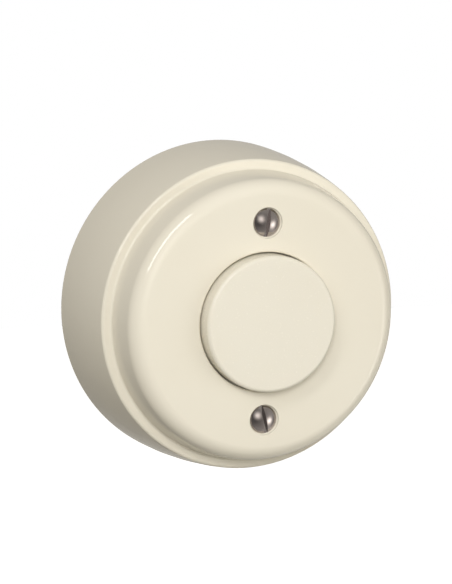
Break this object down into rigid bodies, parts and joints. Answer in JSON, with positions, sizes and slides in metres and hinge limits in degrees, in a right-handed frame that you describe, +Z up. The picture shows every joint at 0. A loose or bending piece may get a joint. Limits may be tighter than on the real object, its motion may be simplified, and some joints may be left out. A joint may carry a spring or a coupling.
{
  "type": "illuminated bell push",
  "caption": "Round surface-mounted push button for a wall: a stepped cream cover held by slotted screws, with a sprung lamp-lit button in its middle.",
  "frame": {"origin": "centre of the round back, where the button's axis meets the wall", "axes": "+Y into the wall along the button's axis, so the front faces -Y; +Z up, through the upper cover screw"},
  "size_m": [0.064, 0.0307, 0.064],
  "materials": {
    "cream_thermoset": "polished moulding",
    "cream_translucent": "fine satin",
    "dark_thermoset": "moulded",
    "white_nylon": "moulded",
    "nickel_steel": "nickel plated",
    "spring_steel": "drawn wire",
    "brass": "turned and pressed",
    "contact_silver": "headed rivet",
    "lamp_glass": "clear",
    "resistor_lacquer": "lacquered"
  },
  "bodies": {
    "housing": {"cover": "cream_thermoset", "base_plate": "cream_thermoset", "mechanism_housing": "dark_thermoset", "guide_lid": "dark_thermoset", "lamp_holder": "white_nylon", "glow_lamp": "lamp_glass", "lamp_resistor": "resistor_lacquer", "contact_strip_left": "brass", "contact_strip_right": "brass", "fixed_contact_left": "contact_silver", "fixed_contact_right": "contact_silver", "terminal_block_left": "brass", "terminal_block_right": "brass", "terminal_screw_left": "nickel_steel", "terminal_screw_right": "nickel_steel", "housing_screw_upper": "nickel_steel", "housing_screw_lower": "nickel_steel", "thread_insert_upper": "brass", "thread_insert_lower": "brass", "cover_screw_upper": "nickel_steel", "cover_screw_lower": "nickel_steel"},
    "button": {"push_button": "cream_translucent", "plunger": "white_nylon", "return_spring": "spring_steel", "contact_ring": "brass", "moving_contact_left": "contact_silver", "moving_contact_right": "contact_silver"}
  },
  "joints": [
    {"name": "button_press", "type": "slide", "parent": "housing", "child": "button", "axis": [0, 1, 0], "range_m": [0, 0.0025], "stiffness_N_per_m": 800, "springref_m": -0.0019, "deforming": ["return_spring"]}
  ]
}
